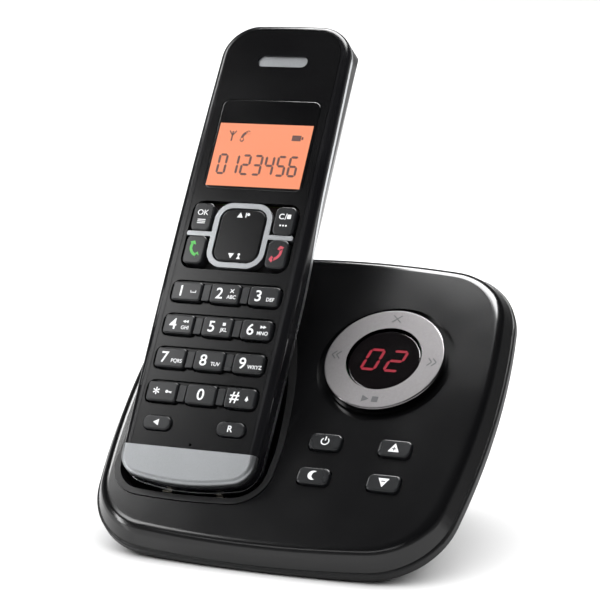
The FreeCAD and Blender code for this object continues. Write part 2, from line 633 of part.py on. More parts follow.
def handset_inside():
    mat = new_body("keypad_mat", HANDSET)
    slab(mat, "mat", (38, 84), 2, cell("mat_top"), cell("mat_thickness"), at=(0, -6))
    keep(mat)

    board = new_body("handset_circuit_board", HANDSET)
    slab(board, "board", (40, 120), 3, cell("board_top"), cell("board_thickness"), at=(0, 12))
    keep(board)

    speaker = new_body("earpiece_speaker", HANDSET)
    disc(speaker, "speaker", cell("speaker_radius"), -3.2, cell("speaker_depth"), at=(0, cell("slot_y") - 4))
    keep(speaker)

    microphone = new_body("microphone", HANDSET)
    disc(microphone, "capsule", 2.4, -4.4, 2.4, at=(0, cell("panel_foot") - 1))
    keep(microphone)

    cells = []
    for side in (-1, 1):
        spot = (side * cell("cell_x"), cell("cell_foot"), cell("cell_z"))
        lengthwise = Rotation(Vector(1, 0, 0), -90)
        cells.append(primitive("Cylinder", "cell", HANDSET, spot, lengthwise,
                               Radius=cell("cell_radius"), Height=cell("cell_length")))
    join_all("battery_cells", cells)

    springs = []
    for end in (cell("cell_foot") - 1.1, cell("cell_foot") + cell("cell_length") + 0.3):
        spot = (-9, end, cell("cell_z") - 3)
        springs.append(primitive("Box", "battery_contact", HANDSET, spot, Length=18, Width=0.8, Height=6))
    join_all("battery_contacts", springs)

    screws = []
    for side in (-1, 1):
        spot = (side * 6.5, 76, -21.9)
        screws.append(primitive("Cylinder", "screw", HANDSET, spot, Radius=cell("screw_radius"),
                                Height=cell("screw_length")))
    join_all("handset_screws", screws)

    join_all("handset_charge_contacts", charge_pads(as_size(0)))


def charge_pads(grow):
    """The two metal pads in the foot of the handset, or the slots for them."""
    pads = []
    for side in (-1, 1):
        spot = (side * cell("contact_x") - cell("contact_width") / 2 - grow, cell("pad_foot") - grow,
                cell("pad_z") - grow)
        pads.append(primitive("Box", "charge_pad", HANDSET, spot, Length=cell("contact_width") + 2 * grow,
                              Width=cell("pad_depth") + 2 * grow, Height=cell("pad_length") + 2 * grow))
    return pads


# ---------------------------------------------------------------- base covers

def plate_section(body, name, top, inset):
    sketch = attach_sketch(body, name, 0, 0, top)
    inset = as_size(inset)
    radii = (cell("plate_side_radius") - inset, cell("plate_front_radius") - inset,
             cell("plate_front_radius") - inset)
    corners = (cell("plate_corner") - inset, cell("plate_corner") - inset)
    crowned_outline(sketch, cell("plate_width") - 2 * inset, cell("plate_length") - 2 * inset, radii, corners)
    return sketch


def loft_between(body, name, kind, sections):
    loft = body.newObject(f"PartDesign::{kind}Loft", name)
    loft.Profile = sections[0]
    loft.Sections = sections[1:]
    loft.Ruled = True
    return loft


def wedge(body, name, kind, top, inset):
    """The tapered stand below the plate: a broad rounded square drawn down to a narrow foot."""
    upper = plate_section(body, f"{name}_upper", top, inset + 1.2)
    lower = attach_sketch(body, f"{name}_lower", 0, 0, -cell("wedge_depth"))
    radii = (cell("plate_side_radius"), cell("plate_front_radius"), cell("plate_front_radius"))
    corners = (cell("foot_corner"), cell("foot_corner"))
    crowned_outline(lower, cell("foot_width") - 2 * inset, cell("foot_length") - 2 * inset, radii, corners)
    return loft_between(body, f"{name}_loft", kind, [upper, lower])


def above_height(name, low, high=200):
    """A block that holds everything between two heights above the table."""
    return primitive("Box", name, ROW, (-150, -150, low), Length=300, Width=300, Height=high - as_size(low))


def base_covers():
    way_out = cell("cradle_way_out")
    inner_space = hull("handset_room", cell("cradle_gap"), way_out)
    outer_space = hull("cradle_room", cell("cradle_gap") + cell("cradle_wall"), way_out)
    wall_space = hull("cradle_hole", cell("cradle_gap") + cell("cradle_wall") + 0.1, way_out)

    top = new_body("top_cover_block", PLATE)
    block = pad(top, plate_section(top, "cover_low", -cell("cover_depth"), 0), cell("cover_depth"), upwards=True)
    bind(block, "TaperAngle", -cell("cover_draft"))
    round_top_edges(top, block, 0, cell("cover_round"))
    inside = plate_section(top, "cover_inside", -cell("cover_wall"), cell("cover_slope") + cell("cover_wall"))
    pocket(top, inside, 20)
    ring_at = (cell("ring_x"), cell("ring_y"))
    round_hole(top, "ring_well", cell("well_radius"), 1, 1 + cell("well_depth"), at=ring_at)
    round_hole(top, "ring_bore", cell("ring_radius") - 2.6, 1, 9, at=ring_at)
    for across, along in button_places():
        size = (cell("button_width") + 2 * cell("key_gap"), cell("button_height") + 2 * cell("key_gap"))
        slot(top, f"button_hole_{along[0]}_{across[0]}", size, 2, 1, 9, at=(across[1], along[1]))
    boolean("Cut", "base_top_cover", top, wall_space)

    solid = new_body("bottom_cover_block", PLATE)
    lip = plate_section(solid, "lip", -cell("cover_depth") - cell("seam"), -cell("lip_proud"))
    lip_pad = pad(solid, lip, cell("lip_depth"))
    round_top_edges(solid, lip_pad, -cell("cover_depth") - cell("seam"), cell("lip_round"))
    wedge(solid, "wedge", "Additive", -cell("cover_depth") - cell("lip_depth"), as_size(0))
    hollow = new_body("bottom_cover_hollow", PLATE)
    room = plate_section(hollow, "lip_room", -cell("cover_depth") + 1, cell("cover_wall"))
    pad(hollow, room, cell("lip_depth") + 1)
    wedge(hollow, "hollow", "Additive", -cell("cover_depth") - cell("lip_depth"), cell("cover_wall"))
    over_table = above_height("over_table", cell("pad_height"))
    outside = boolean("Common", "bottom_outside", solid, over_table, kept=False)
    inside = boolean("Common", "bottom_inside", hollow,
                     above_height("over_floor", cell("pad_height") + cell("floor_wall")), kept=False)
    shell = boolean("Cut", "bottom_shell", outside, inside, kept=False)
    drilled = boolean("Cut", "bottom_drilled", shell, rear_openings(), kept=False)
    boolean("Cut", "base_bottom_cover", drilled, wall_space)

    liner = boolean("Cut", "cradle_liner", outer_space, inner_space, kept=False)
    ceiling = new_body("cradle_ceiling", PLATE)
    brim = plate_section(ceiling, "cradle_rim", cell("cradle_brim"), cell("cover_slope") + 1.4)
    pad(ceiling, brim, 60)
    boolean("Common", "cradle_well", liner, ceiling)


def rear_openings():
    """Tools that cut the jack openings and the sound slots through the rear wall."""
    tools = []
    for name in ("line_x", "power_x"):
        spot = (cell(name) - cell("jack_width") / 2 - 0.2, 34, cell("jack_z") - 0.2)
        tools.append(primitive("Box", "jack_opening", ROW, spot, Length=cell("jack_width") + 0.4, Width=60,
                               Height=cell("jack_height") + 0.4))
    for index in range(6):
        spot = (-14, 34, 30 + 4 * index)
        tools.append(primitive("Box", "sound_slot", ROW, spot, Length=28, Width=60, Height=1.6))
    group = doc.addObject("Part::MultiFuse", "rear_openings")
    group.Shapes = tools
    return group


def button_places():
    for row, way in ((0, 1), (1, -1)):
        for column, side in ((0, -1), (1, 1)):
            across = (column, cell("button_x") + side * cell("button_dx"))
            along = (row, cell("button_y") + way * cell("button_dy"))
            yield across, along


# ---------------------------------------------------------------- base controls

def base_controls():
    ring_at = (cell("ring_x"), cell("ring_y"))
    ring = new_body("control_ring", PLATE)
    block = disc(ring, "ring_disc", cell("ring_radius"), cell("ring_rise"), cell("ring_depth"), at=ring_at)
    round_top_edges(ring, block, cell("ring_rise"), as_size(0.7))
    round_hole(ring, "ring_hole", cell("ring_bore"), 9, 20, at=ring_at)
    keep(ring)

    carrier = new_body("ring_carrier", PLATE)
    disc(carrier, "carrier_disc", cell("carrier_radius"), -0.9, cell("carrier_thickness"), at=ring_at)
    round_hole(carrier, "carrier_hole", cell("carrier_bore"), 9, 20, at=ring_at)
    keep(carrier)

    window = new_body("led_window", PLATE)
    block = disc(window, "window_disc", cell("window_radius"), cell("window_rise"), 5.2, at=ring_at)
    round_top_edges(window, block, cell("window_rise"), as_size(0.5))
    keep(window)

    digits = new_body("led_module", PLATE)
    slab(digits, "led_block", (16, 11), 0.5, -3.7, 3.6, at=ring_at)
    keep(digits)

    names = iter(("button_power", "button_up", "button_night", "button_down"))
    for across, along in button_places():
        make_key(next(names), cell("button_width"), cell("button_height"), 1.8, across[1], along[1],
                 frame=PLATE, rise="button_rise", depth="button_depth")

    mat = new_body("base_button_mat", PLATE)
    slab(mat, "button_mat", (38, 24), 2, -5.2, 1.6, at=(cell("button_x"), cell("button_y")))
    keep(mat)


def base_inside():
    board = new_body("base_circuit_board", PLATE)
    outline = (cell("base_board_width"), cell("base_board_length"))
    slab(board, "base_board", outline, 3, cell("base_board_top"), 1.6, at=(cell("base_board_x"), -4))
    keep(board)

    driver = primitive("Cylinder", "base_speaker", ROW, (0, 38, 41), Rotation(Vector(1, 0, 0), 90),
                       Radius=cell("driver_radius"), Height=cell("driver_depth"))
    keep(driver)

    for label, alias in (("line_jack", "line_x"), ("power_jack", "power_x")):
        spot = (cell(alias) - cell("jack_width") / 2, cell("jack_y"), cell("jack_z"))
        block = primitive("Box", f"{label}_block", ROW, spot, Length=cell("jack_width"),
                          Width=cell("jack_length"), Height=cell("jack_height"))
        mouth = cell("jack_y") + cell("jack_length")
        hole = (cell(alias) - cell("socket_width") / 2, mouth - cell("socket_depth"),
                cell("jack_z") + (cell("jack_height") - cell("socket_height")) / 2)
        socket = primitive("Box", f"{label}_socket", ROW, hole, Length=cell("socket_width"), Width=20,
                           Height=cell("socket_height"))
        boolean("Cut", label, block, socket)

    springs = []
    for side in (-1, 1):
        spot = (side * cell("contact_x") - 1, cell("pad_foot") - 1.9, cell("pad_z") + 1)
        springs.append(primitive("Box", "spring_contact", HANDSET, spot, Length=2, Width=1.7, Height=3))
    join_all("base_charge_contacts", springs)

    feet = []
    for x, y in ((-36, -31), (36, -31), (-15, 43), (15, 43)):
        feet.append(primitive("Cylinder", "rubber_foot", ROW, (x, y, 0), Radius=cell("pad_radius"),
                              Height=cell("pad_height")))
    join_all("base_feet", feet)

    screws = []
    for x, y in ((-24, -40), (24, -40), (-14, 22), (14, 22)):
        screws.append(primitive("Cylinder", "base_screw", ROW, (x, y, 3.2), Radius=cell("screw_radius"),
                                Height=cell("screw_length")))
    join_all("base_screws", screws)


# ---------------------------------------------------------------- checks and files

def check_document():
    for item in doc.Objects:
        if {"Invalid", "Error"} & set(item.State):
            raise SystemExit(f"{item.Label} failed: {item.State}")
    for item in nodes:
        if item.Shape.isNull() or not item.Shape.isValid() or not item.Shape.Solids:
            raise SystemExit(f"{item.Label} has no sound solid")


def write_files():
    os.makedirs("parts", exist_ok=True)
    for item in nodes:
        item.Shape.exportStep(os.path.join("parts", f"{item.Label}.step"))
        box = item.Shape.BoundBox
        print(f"{item.Label:26s} solids {len(item.Shape.Solids)} volume {item.Shape.Volume:10.1f}"
              f" x {box.XMin:7.2f} {box.XMax:7.2f} y {box.YMin:7.2f} {box.YMax:7.2f}"
              f" z {box.ZMin:7.2f} {box.ZMax:7.2f}")


handset_shells()
handset_face()
handset_keys()
handset_inside()
base_covers()
base_controls()
base_inside()
doc.recompute()
check_document()
write_files()
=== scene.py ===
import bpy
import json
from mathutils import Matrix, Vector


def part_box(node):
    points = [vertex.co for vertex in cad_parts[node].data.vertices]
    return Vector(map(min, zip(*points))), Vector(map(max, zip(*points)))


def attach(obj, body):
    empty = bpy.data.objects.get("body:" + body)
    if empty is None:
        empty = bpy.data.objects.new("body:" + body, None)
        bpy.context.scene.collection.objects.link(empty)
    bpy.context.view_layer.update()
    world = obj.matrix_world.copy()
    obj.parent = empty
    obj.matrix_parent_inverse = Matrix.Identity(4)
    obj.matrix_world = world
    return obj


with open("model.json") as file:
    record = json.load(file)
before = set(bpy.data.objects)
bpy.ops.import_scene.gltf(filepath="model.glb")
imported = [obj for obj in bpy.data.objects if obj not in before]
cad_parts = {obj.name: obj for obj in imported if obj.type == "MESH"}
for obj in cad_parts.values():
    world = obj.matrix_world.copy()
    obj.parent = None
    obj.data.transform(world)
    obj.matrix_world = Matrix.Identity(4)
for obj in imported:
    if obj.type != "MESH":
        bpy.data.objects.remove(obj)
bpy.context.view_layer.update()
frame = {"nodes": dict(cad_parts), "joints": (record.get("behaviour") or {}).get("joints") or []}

import json
import math

import bmesh
import bpy
from mathutils import Matrix, Vector

# A slim cordless telephone standing in the cradle of its wedge-shaped answering base.
# Lengths are metres in the CAD frame: +Z up, -Y to the front. MM makes millimetres readable.

MM = 0.001


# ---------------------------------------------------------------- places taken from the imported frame

JOINTS = {joint["name"]: joint for joint in frame["joints"]}


class Seat:
    """A flat face to work on: u runs across it, v up along it and w out of it, in metres."""

    def __init__(self, point, along, known):
        self.across = Vector((1, 0, 0))
        self.along = Vector(along).normalized()
        self.out = self.across.cross(self.along)
        self.origin = Vector(point) - self.across * known[0] - self.along * known[1] - self.out * known[2]

    def matrix(self, u=0.0, v=0.0, w=0.0, turn=0.0):
        """The placement of a drawing whose own origin is to lie at (u, v, w) of this seat."""
        axes = Matrix((self.across, self.along, self.out)).transposed().to_4x4()
        spot = self.origin + self.across * u + self.along * v + self.out * w
        return Matrix.Translation(spot) @ axes @ Matrix.Rotation(turn, 4, "Z")

    def local(self, point):
        offset = Vector(point) - self.origin
        return Vector((offset.dot(self.across), offset.dot(self.along), offset.dot(self.out)))

    def extent(self, node):
        """The lowest and highest corner of a CAD node, measured along this seat's own axes."""
        points = [self.local(vertex.co) for vertex in frame["nodes"][node].data.vertices]
        low = Vector([min(point[axis] for point in points) for axis in range(3)])
        high = Vector([max(point[axis] for point in points) for axis in range(3)])
        return low, high

    def middle(self, node):
        """Where a node's centre lies across and along the seat, and how high its top stands."""
        low, high = self.extent(node)
        return (low.x + high.x) / 2, (low.y + high.y) / 2, high.z


PAD_PIVOT = JOINTS["nav_pad_rock"]
RING_PIVOT = JOINTS["ring_side_rock"]
LIFT = JOINTS["handset_lift"]
pad_low, pad_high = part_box("nav_pad")
HANDSET_MIDDLE = (pad_low.x + pad_high.x) / 2
# where each pivot lies on its own seat: u, v and w
PAD_PLACE = (0, 23.2 * MM, -1 * MM)
RING_PLACE = (RING_PIVOT["pos_m"][0], 15.6 * MM, 0)
HANDSET = Seat((HANDSET_MIDDLE, PAD_PIVOT["pos_m"][1], PAD_PIVOT["pos_m"][2]), LIFT["axis"], PAD_PLACE)
PLATE = Seat(RING_PIVOT["pos_m"], RING_PIVOT["axis"], RING_PLACE)


# ---------------------------------------------------------------- materials

def linear(code):
    """An sRGB hex colour as linear RGBA."""
    def channel(text):
        value = int(text, 16) / 255
        return value / 12.92 if value <= 0.04045 else ((value + 0.055) / 1.055) ** 2.4
    return tuple(channel(code[place:place + 2]) for place in (1, 3, 5)) + (1.0,)


def add(tree, kind, links=None, values=None, **settings):
    """Adds a node with its settings, its socket values and its incoming links."""
    made = tree.nodes.new(kind)
    for name, value in settings.items():
        setattr(made, name, value)
    for socket, value in (values or {}).items():
        made.inputs[socket].default_value = value
    for socket, source in (links or {}).items():
        tree.links.new(source, made.inputs[socket])
    return made


def new_material(name, **values):
    """A Principled material with its constants on the shader's own sockets."""
    material = bpy.data.materials.new(name)
    material.use_nodes = True
    tree = material.node_tree
    tree.nodes.clear()
    shader = add(tree, "ShaderNodeBsdfPrincipled", values=values)
    add(tree, "ShaderNodeOutputMaterial", links={"Surface": shader.outputs["BSDF"]})
    return material, tree, shader


def drive(tree, source, shader, socket):
    tree.links.new(source, shader.inputs[socket])


GLOSS_DRIFT = 22 * MM  # how far apart moulded plastic turns from a little duller to a little shinier


def moulded_grain(tree, shader, grain, relief, rough, spread):
    """The fine spark-eroded skin of moulded plastic, and the slow drift of its gloss.

    grain is the skin's width and relief its depth; the roughness stays within spread of rough."""
    place = add(tree, "ShaderNodeTexCoord")
    skin = add(tree, "ShaderNodeTexNoise", links={"Vector": place.outputs["Object"]},
               values={"Scale": 1 / grain, "Detail": 3.0, "Roughness": 0.6})
    bump = add(tree, "ShaderNodeBump", links={"Height": skin.outputs["Fac"]},
               values={"Strength": 0.35, "Distance": relief})
    drive(tree, bump.outputs["Normal"], shader, "Normal")
    drift = add(tree, "ShaderNodeTexNoise", links={"Vector": place.outputs["Object"]},
                values={"Scale": 1 / GLOSS_DRIFT, "Detail": 4.0})
    level = add(tree, "ShaderNodeMapRange", links={"Value": drift.outputs["Fac"]},
                values={"From Min": 0.3, "From Max": 0.7,
                        "To Min": rough - spread, "To Max": rough + spread})
    drive(tree, level.outputs["Result"], shader, "Roughness")
    return place, drift


def tinted(tree, shader, source, dark, light):
    """Lets the base colour drift between two near tones."""
    mix = add(tree, "ShaderNodeMix", links={"Factor": source}, data_type="RGBA")
    mix.inputs[6].default_value = linear(dark)
    mix.inputs[7].default_value = linear(light)
    drive(tree, mix.outputs[2], shader, "Base Color")


def moulded_plastic(name, dark, light, grain, relief, rough, spread, **values):
    material, tree, shader = new_material(name, **values)
    _, drift = moulded_grain(tree, shader, grain, relief, rough, spread)
    tinted(tree, shader, drift.outputs["Fac"], dark, light)
    return material


def glossy_abs():
    # high-gloss moulded ABS: nearly black, a soft clear reflection, a faint orange-peel skin
    return moulded_plastic("glossy_black_abs", "#060607", "#0a0a0b", 0.9 * MM, 0.008 * MM, 0.19, 0.02,
                           **{"Specular IOR Level": 0.4})


def fine_matt_abs():
    # spark-eroded ABS: the same black, but its grain breaks the reflection up
    return moulded_plastic("matt_black_abs", "#070708", "#0c0c0d", 0.28 * MM, 0.03 * MM, 0.44, 0.05,
                           **{"Specular IOR Level": 0.25})


def satin_abs():
    # satin moulded ABS of the handset's shells: charcoal, silky, with broad highlights
    return moulded_plastic("satin_charcoal_abs", "#08080a", "#0e0e10", 0.35 * MM, 0.016 * MM, 0.23, 0.03,
                           **{"Specular IOR Level": 0.22})


def panel_abs():
    # the face panel: a smoother, darker satin that fills the front shell
    return moulded_plastic("satin_panel_abs", "#070708", "#0b0b0c", 0.3 * MM, 0.010 * MM, 0.21, 0.02,
                           **{"Specular IOR Level": 0.2})


def keycap_plastic():
    # lacquered keycaps: charcoal with a silky clear coat that catches the light on their rims
    return moulded_plastic("lacquered_keycap", "#111213", "#18191b", 0.3 * MM, 0.012 * MM, 0.28, 0.03,
                           **{"Specular IOR Level": 0.25, "Coat Weight": 0.12, "Coat Roughness": 0.15})


def silver_paint(name, dark, light, rough):
    # metallic paint on ABS under a clear coat: its aluminium flakes are drawn a tenth of a millimetre wide,
    # coarser than real ones, so that their sparkle shows
    material, tree, shader = new_material(name, **{"Metallic": 1.0, "Coat Weight": 0.25,
                                                   "Coat Roughness": 0.12})
    place, _ = moulded_grain(tree, shader, 0.22 * MM, 0.012 * MM, rough, 0.05)
    flakes = add(tree, "ShaderNodeTexVoronoi", links={"Vector": place.outputs["Object"]},
                 values={"Scale": 1 / (0.12 * MM)})
    tinted(tree, shader, flakes.outputs["Distance"], light, dark)
    return material


def turned_ring():
    # bead-blasted and anodised face with turned, polished edges: the face is grainy, the sides are mirrors;
    # the dents of the blasting are drawn 0.35 mm wide, coarser than real ones, so that they show
    material, tree, shader = new_material("bead_blasted_ring", **{"Metallic": 1.0})
    place = add(tree, "ShaderNodeTexCoord")
    blast = add(tree, "ShaderNodeTexNoise", links={"Vector": place.outputs["Object"]},
                values={"Scale": 1 / (0.35 * MM), "Detail": 4.0, "Roughness": 0.7})
    tinted(tree, shader, blast.outputs["Fac"], "#4f4d4e", "#767475")
    bump = add(tree, "ShaderNodeBump", links={"Height": blast.outputs["Fac"]},
               values={"Strength": 0.3, "Distance": 0.02 * MM})
    drive(tree, bump.outputs["Normal"], shader, "Normal")
    facing = add(tree, "ShaderNodeVectorMath", links={0: place.outputs["Normal"]}, operation="DOT_PRODUCT")
    facing.inputs[1].default_value = PLATE.out
    level = add(tree, "ShaderNodeMapRange", links={"Value": facing.outputs["Value"]},
                values={"From Min": 0.85, "From Max": 0.98, "To Min": 0.14, "To Max": 0.62})
    drive(tree, level.outputs["Result"], shader, "Roughness")
    return material


def smoked_acrylic():
    # polished smoked acrylic over the red number: black and mirror smooth, with faint dust and wipe marks
    return moulded_plastic("smoked_acrylic", "#050405", "#090607", 6 * MM, 0.004 * MM, 0.10, 0.03,
                           **{"IOR": 1.49, "Coat Weight": 0.5, "Coat Roughness": 0.05})


def clear_polycarbonate():
    # the display window's printed black border sits behind clear polished polycarbonate
    return moulded_plastic("display_window", "#060607", "#0a0a0b", 7 * MM, 0.003 * MM, 0.16, 0.03,
                           **{"IOR": 1.58, "Specular IOR Level": 0.3, "Coat Weight": 0.1,
                              "Coat Roughness": 0.05})


def lit_display():
    # a transflective display lit from behind by an orange film, a little brighter towards its middle
    material, tree, shader = new_material("orange_backlight", **{
        "Roughness": 0.5, "Emission Strength": 0.8, "Base Color": linear("#6e3317")})
    place = add(tree, "ShaderNodeTexCoord")
    cloud = add(tree, "ShaderNodeTexNoise", links={"Vector": place.outputs["Object"]},
                values={"Scale": 1 / (30 * MM), "Detail": 1.0})
    pixels = add(tree, "ShaderNodeTexChecker", links={"Vector": place.outputs["Object"]},
                 values={"Scale": 1 / (0.45 * MM)})
    glow = add(tree, "ShaderNodeMix", links={"Factor": cloud.outputs["Fac"]}, data_type="RGBA")
    glow.inputs[6].default_value = linear("#e8824f")
    glow.inputs[7].default_value = linear("#ef8f60")
    grid = add(tree, "ShaderNodeMix", links={"Factor": pixels.outputs["Fac"]}, data_type="RGBA",
               blend_type="MULTIPLY")
    tree.links.new(glow.outputs[2], grid.inputs[6])
    grid.inputs[7].default_value = linear("#fbf3ee")
    drive(tree, grid.outputs[2], shader, "Emission Color")
    return material


def printed_ink(name, code, wear, **values):
    """Pad-printed ink with a slightly uneven film."""
    material, tree, shader = new_material(name, **values)
    place = add(tree, "ShaderNodeTexCoord")
    film = add(tree, "ShaderNodeTexNoise", links={"Vector": place.outputs["Object"]},
               values={"Scale": 1 / (0.8 * MM), "Detail": 3.0})
    tinted(tree, shader, film.outputs["Fac"], wear, code)
    bump = add(tree, "ShaderNodeBump", links={"Height": film.outputs["Fac"]},
               values={"Strength": 0.2, "Distance": 0.01 * MM})
    drive(tree, bump.outputs["Normal"], shader, "Normal")
    return material


def lit_digit():
    # a red light-emitting display behind smoked acrylic: its segments glow unevenly
    material, tree, shader = new_material("red_led_segment", **{
        "Roughness": 0.6, "Emission Strength": 0.7, "Specular IOR Level": 0.1,
        "Base Color": linear("#2a0306")})
    place = add(tree, "ShaderNodeTexCoord")
    cells = add(tree, "ShaderNodeTexNoise", links={"Vector": place.outputs["Object"]},
                values={"Scale": 1 / (1.1 * MM), "Detail": 1.0})
    glow = add(tree, "ShaderNodeMix", links={"Factor": cells.outputs["Fac"]}, data_type="RGBA")
    glow.inputs[6].default_value = linear("#9c0f28")
    glow.inputs[7].default_value = linear("#c01a38")
    drive(tree, glow.outputs[2], shader, "Emission Color")
    return material


def circuit_board():
    # green solder resist over copper: broad tracks show through as slightly raised, lighter lines
    material, tree, shader = new_material("solder_resist", **{"Roughness": 0.35})
    place = add(tree, "ShaderNodeTexCoord")
    tracks = add(tree, "ShaderNodeTexBrick", links={"Vector": place.outputs["Object"]},
                 values={"Scale": 1 / (9 * MM), "Mortar Size": 0.03, "Color1": linear("#0e4a2a"),
                         "Color2": linear("#0c4226"), "Mortar": linear("#1c7040")})
    drive(tree, tracks.outputs["Color"], shader, "Base Color")
    bump = add(tree, "ShaderNodeBump", links={"Height": tracks.outputs["Fac"]},
               values={"Strength": 0.3, "Distance": 0.03 * MM})
    drive(tree, bump.outputs["Normal"], shader, "Normal")
    return material


def plated_metal():
    # nickel plating drawn through a die: fine lines along one way
    material, tree, shader = new_material("nickel_plate", **{
        "Metallic": 1.0, "Base Color": linear("#b9b4a8")})
    place = add(tree, "ShaderNodeTexCoord")
    stretch = add(tree, "ShaderNodeMapping", links={"Vector": place.outputs["Object"]},
                  values={"Scale": (1.0, 1.0, 12.0)})
    lines = add(tree, "ShaderNodeTexNoise", links={"Vector": stretch.outputs["Vector"]},
                values={"Scale": 1 / (1.2 * MM), "Detail": 4.0})
    level = add(tree, "ShaderNodeMapRange", links={"Value": lines.outputs["Fac"]},
                values={"To Min": 0.22, "To Max": 0.42})
    drive(tree, level.outputs["Result"], shader, "Roughness")
    return material


def rubber():
    # moulded rubber: dull, dark and slightly dusty
    return moulded_plastic("moulded_rubber", "#0e0e0e", "#1c1c1c", 0.5 * MM, 0.04 * MM, 0.75, 0.08)


MATERIALS = {
    "gloss": glossy_abs(), "matt": fine_matt_abs(), "satin": satin_abs(), "panel": panel_abs(),
    "keycap": keycap_plastic(), "trim": silver_paint("bright_silver_paint", "#b4b6b8", "#cfd1d3", 0.28),
    "satin_silver": silver_paint("satin_silver_paint", "#7c7e80", "#939597", 0.42),
    "ring": turned_ring(), "smoked": smoked_acrylic(), "lens": clear_polycarbonate(), "lcd": lit_display(),
    "board": circuit_board(), "metal": plated_metal(), "rubber": rubber(),
    "white": printed_ink("white_ink", "#e8e9ea", "#c9cacc", **{"Roughness": 0.45}),
    "grey": printed_ink("grey_ink", "#8f9194", "#77797c", **{"Roughness": 0.5}),
    "green": printed_ink("green_ink", "#3fae3c", "#2f9030", **{"Roughness": 0.45}),
    "crimson": printed_ink("crimson_ink", "#b81f3c", "#96152e", **{"Roughness": 0.45}),
    "dark": printed_ink("engraved_shade", "#26272a", "#1c1d20", **{"Roughness": 0.6}),
    "segment": printed_ink("liquid_crystal_segment", "#45190b", "#371307", **{"Roughness": 0.5}),
    "led": lit_digit(),
}

FINISHES = {
    "gloss": ["base_top_cover"],
    "matt": ["base_bottom_cover", "cradle_well", "ring_carrier", "led_module", "base_speaker",
             "earpiece_speaker", "microphone", "line_jack", "power_jack"],
    "satin": ["handset_front_shell", "handset_rear_shell", "battery_door"],
    "panel": ["handset_faceplate", "nav_pad"],
    "trim": ["trim_band"],
    "satin_silver": ["nav_frame", "earpiece_grille", "chin_cover"],
    "ring": ["control_ring"],
    "smoked": ["led_window"],
    "lens": ["display_lens"],
    "lcd": ["lcd_module"],
    "board": ["handset_circuit_board", "base_circuit_board"],
    "metal": ["battery_contacts", "handset_screws", "base_screws", "base_charge_contacts",
              "handset_charge_contacts", "battery_cells"],
    "rubber": ["keypad_mat", "base_button_mat", "base_feet"],
}


def finish_nodes():
    """Gives every CAD node its finish; what isn't named is a keycap or a button."""
    named = {node: finish for finish, nodes in FINISHES.items() for node in nodes}
    for node, item in frame["nodes"].items():
        material = MATERIALS[named.get(node, "keycap")]
        item.data.materials.clear()
        item.data.materials.append(material)


# ---------------------------------------------------------------- flat drawings

class Drawing:
    """Closed outlines on a face, in metres, which become a thin inlay."""

    def __init__(self):
        self.loops = []

    def polygon(self, points):
        self.loops.append([Vector(point) for point in points])
        return self

    def box(self, x, y, width, height, slant=0.0):
        half_w, half_h = width / 2, height / 2
        corners = ((-half_w, -half_h), (half_w, -half_h), (half_w, half_h), (-half_w, half_h))
        return self.polygon([(x + a + slant * b, y + b) for a, b in corners])

    def triangle(self, x, y, width, height, turn=0.0):
        corners = ((-width / 2, -height / 2), (width / 2, -height / 2), (0, height / 2))
        cosine, sine = math.cos(turn), math.sin(turn)
        return self.polygon([(x + a * cosine - b * sine, y + a * sine + b * cosine) for a, b in corners])

    def disc(self, x, y, radius, sides=24):
        angles = [2 * math.pi * step / sides for step in range(sides)]
        return self.polygon([(x + radius * math.cos(a), y + radius * math.sin(a)) for a in angles])

    def arc(self, x, y, radius, width, start, end, steps=24):
        """A curved stroke between two angles in degrees."""
        angles = [math.radians(start + (end - start) * step / steps) for step in range(steps + 1)]
        far, near = radius + width / 2, radius - width / 2
        outer = [(x + far * math.cos(a), y + far * math.sin(a)) for a in angles]
        inner = [(x + near * math.cos(a), y + near * math.sin(a)) for a in angles]
        return self.polygon(outer + inner[::-1])

    def stroke(self, start, end, width):
        start, end = Vector(start), Vector(end)
        side = (end - start).normalized()
        side = Vector((-side.y, side.x)) * width / 2
        return self.polygon([start - side, end - side, end + side, start + side])


def curve_mesh(name, loops, thickness):
    curve = bpy.data.curves.new(name, "CURVE")
    curve.dimensions = "2D"
    curve.fill_mode = "BOTH"
    curve.extrude = thickness / 2
    for loop in loops:
        spline = curve.splines.new("POLY")
        spline.points.add(len(loop) - 1)
        for point, place in zip(spline.points, loop):
            point.co = (place.x, place.y, 0, 1)
        spline.use_cyclic_u = True
    return as_mesh(curve)


def text_mesh(text, height, bold, thickness, stretch=1.0):
    """Text whose capitals stand height tall, centred on its own middle."""
    letters = bpy.data.curves.new("letters", "FONT")
    letters.body = text
    letters.size = height / 0.7
    letters.align_x = "CENTER"
    letters.align_y = "CENTER"
    letters.offset = bold
    letters.extrude = thickness / 2
    mesh = as_mesh(letters)
    width = [vertex.co.x for vertex in mesh.vertices]
    tall = [vertex.co.y for vertex in mesh.vertices]
    centre = Matrix.Translation((-(min(width) + max(width)) / 2, -(min(tall) + max(tall)) / 2, 0))
    mesh.transform(Matrix.Diagonal((stretch, 1, 1, 1)) @ centre)
    return mesh


def as_mesh(data):
    holder = bpy.data.objects.new("holder", data)
    bpy.context.scene.collection.objects.link(holder)
    graph = bpy.context.evaluated_depsgraph_get()
    mesh = bpy.data.meshes.new_from_object(holder.evaluated_get(graph))
    bpy.data.objects.remove(holder)
    return mesh


def piece(name, meshes, body, material):
    """Joins placed meshes into one piece that rides on a body."""
    joined = bmesh.new()
    for mesh in meshes:
        joined.from_mesh(mesh)
        bpy.data.meshes.remove(mesh)
    data = bpy.data.meshes.new(name)
    joined.to_mesh(data)
    joined.free()
    data.materials.clear()
    data.materials.append(MATERIALS[material])
    for face in data.polygons:
        face.material_index = 0
    item = bpy.data.objects.new(name, data)
    bpy.context.scene.collection.objects.link(item)
    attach(item, body)
    return item


INK = 0.06 * MM
SUNK = 0.02 * MM


